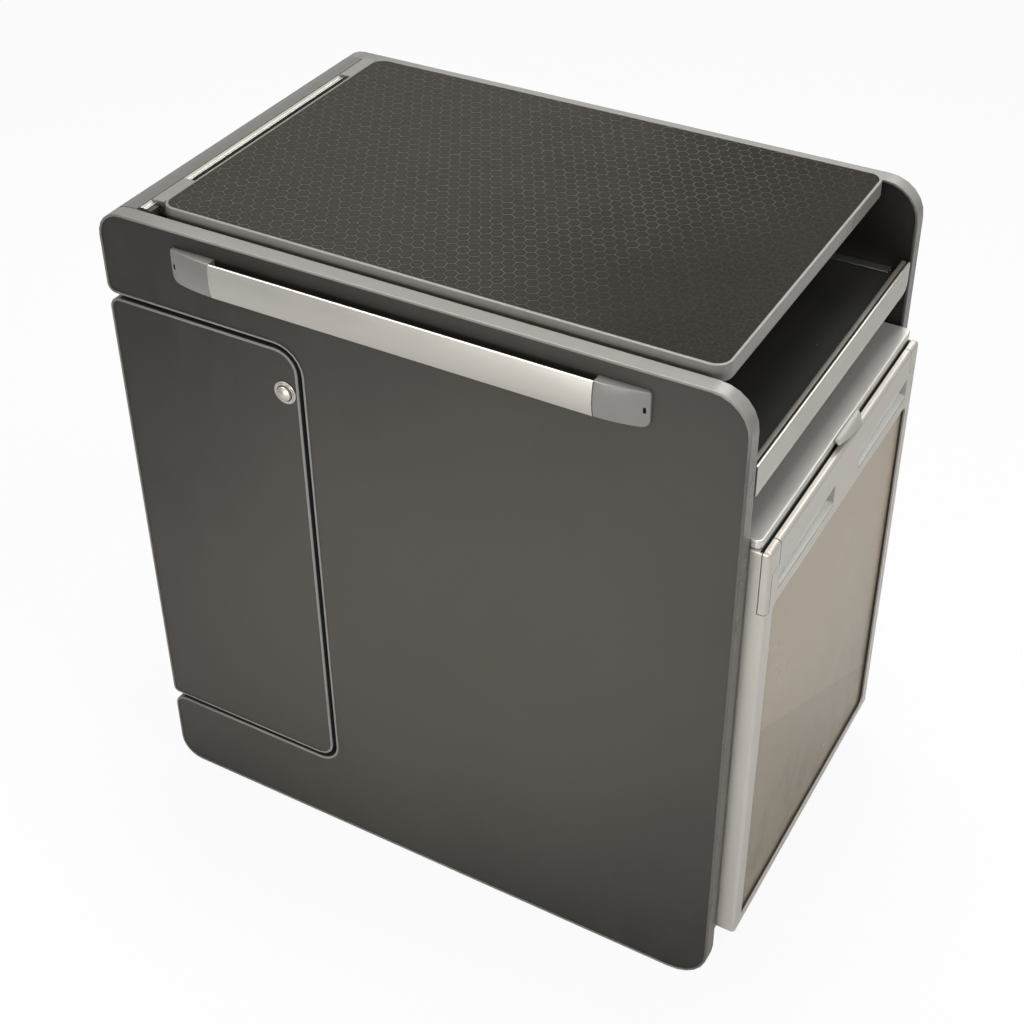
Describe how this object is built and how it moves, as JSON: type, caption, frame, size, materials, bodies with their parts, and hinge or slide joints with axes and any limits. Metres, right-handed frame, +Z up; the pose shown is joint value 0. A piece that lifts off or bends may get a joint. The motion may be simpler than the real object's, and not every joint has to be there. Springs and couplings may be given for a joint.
{
  "type": "campervan kitchen pod",
  "caption": "Compact camper kitchen cabinet with hinged worktop over sink and hob, push-lock side cupboard, slide-out board, front grab rail and an undercounter fridge in the end.",
  "frame": {"origin": "middle of the bounding box at floor level", "axes": "+Z up, -Y out of the long front with the cupboard door, +X out of the end with the fridge"},
  "size_m": [0.6941, 0.431, 0.7294],
  "materials": {
    "graphite": "dark grey laminate on plywood, satin",
    "trim_grey": "grey push-on edge trim, satin",
    "black": "black board, matt",
    "worktop": "dark laminate with a fine honeycomb grip pattern",
    "aluminium": "mill aluminium",
    "champagne": "anodised aluminium, satin",
    "grey_plastic": "grey moulded plastic, fine grain",
    "nickel": "satin nickel plate",
    "fridge_silver": "silver painted skin over foam",
    "fridge_panel": "warm grey decor panel, gloss",
    "white": "white inner moulding",
    "rubber": "grey seal",
    "steel": "brushed steel",
    "can_plastic": "milky plastic",
    "iron": "black enamel"
  },
  "bodies": {
    "carcass": {"front_panel": "graphite", "rear_panel": "graphite", "end_panel": "graphite", "front_panel_trim": "trim_grey", "rear_panel_trim": "trim_grey", "end_top_rail": "trim_grey", "floor_board": "black", "partition": "black", "deck": "black", "lid_rest": "black", "hinge_rail": "aluminium", "ice_box": "aluminium", "condenser": "aluminium", "grab_rail": "champagne", "rail_cap_left": "grey_plastic", "rail_cap_right": "grey_plastic", "sink_drain": "grey_plastic", "tap_body": "nickel", "fridge_body": "fridge_silver", "fridge_lid": "fridge_silver", "fridge_liner": "white", "runner_front": "steel", "runner_rear": "steel", "door_hinge_pin_lower": "steel", "door_hinge_pin_upper": "steel", "sink": "steel", "hob_tray": "steel", "fridge_hinge_pin": "steel", "fridge_hinge_bracket": "steel", "fresh_can": "can_plastic", "waste_can": "can_plastic", "fridge_shelf": "can_plastic", "hob_burner": "iron", "pan_support": "iron", "compressor": "iron"},
    "lid": {"worktop_lid": "worktop", "worktop_trim": "trim_grey", "hinge_block_front": "grey_plastic", "hinge_block_rear": "grey_plastic"},
    "door": {"cabinet_door": "graphite", "cabinet_door_trim": "trim_grey", "door_hinge_leaf_lower": "steel", "door_hinge_leaf_upper": "steel", "lock_case": "black", "lock_ring": "nickel"},
    "lock_button": {"lock_button": "nickel"},
    "lock_bolt": {"lock_bolt": "steel"},
    "fridge_door": {"fridge_door": "fridge_silver", "fridge_insert": "fridge_panel", "fridge_door_liner": "white", "fridge_seal": "rubber", "fridge_cover_near": "fridge_silver", "fridge_cover_far": "fridge_silver"},
    "fridge_latch": {"fridge_latch": "fridge_silver"},
    "slide_out": {"slide_board": "black", "slide_strip": "trim_grey", "slide_front": "champagne"},
    "hob_knob": {"hob_knob": "iron"},
    "tap_spout": {"tap_spout": "nickel"},
    "cooling_fan": {"cooling_fan": "black"}
  },
  "joints": [
    {"name": "lid_hinge", "type": "hinge", "parent": "carcass", "child": "lid", "pos_m": [-0.29955, 0.006, 0.7184], "axis": [0, -1, 0], "range_deg": [0, 95]},
    {"name": "cabinet_door_hinge", "type": "hinge", "parent": "carcass", "child": "door", "pos_m": [-0.34405, -0.1835, 0.3623], "axis": [0, 0, -1], "range_deg": [0, 115]},
    {"name": "lock_push", "type": "slide", "parent": "door", "child": "lock_button", "axis": [0, 1, 0], "range_m": [0, 0.004], "stiffness_N_per_m": 400},
    {"name": "lock_bolt_slide", "type": "slide", "parent": "door", "child": "lock_bolt", "axis": [1, 0, 0], "range_m": [0, 0.014]},
    {"name": "fridge_door_hinge", "type": "hinge", "parent": "carcass", "child": "fridge_door", "pos_m": [0.33185, 0.1855, 0.3127], "axis": [0, 0, 1], "range_deg": [0, 100]},
    {"name": "fridge_latch_lift", "type": "slide", "parent": "fridge_door", "child": "fridge_latch", "axis": [0, 0, 1], "range_m": [0, 0.006], "stiffness_N_per_m": 200},
    {"name": "slide_out_travel", "type": "slide", "parent": "carcass", "child": "slide_out", "axis": [1, 0, 0], "range_m": [0, 0.28]},
    {"name": "hob_knob_turn", "type": "hinge", "parent": "carcass", "child": "hob_knob", "pos_m": [-0.04155, 0.006, 0.6601], "axis": [0, 0, -1], "range_deg": [0, 180]},
    {"name": "tap_swivel", "type": "hinge", "parent": "carcass", "child": "tap_spout", "pos_m": [-0.19755, 0.1488, 0.6698], "axis": [0, 0, 1], "range_deg": [-60, 60]},
    {"name": "fan_spin", "type": "hinge", "parent": "carcass", "child": "cooling_fan", "pos_m": [-0.02255, 0.032, 0.0848], "axis": [0, 1, 0], "continuous": true}
  ],
  "couplings": [
    {"joint": "lock_bolt_slide", "follows": "lock_push", "ratio": 3.5}
  ]
}
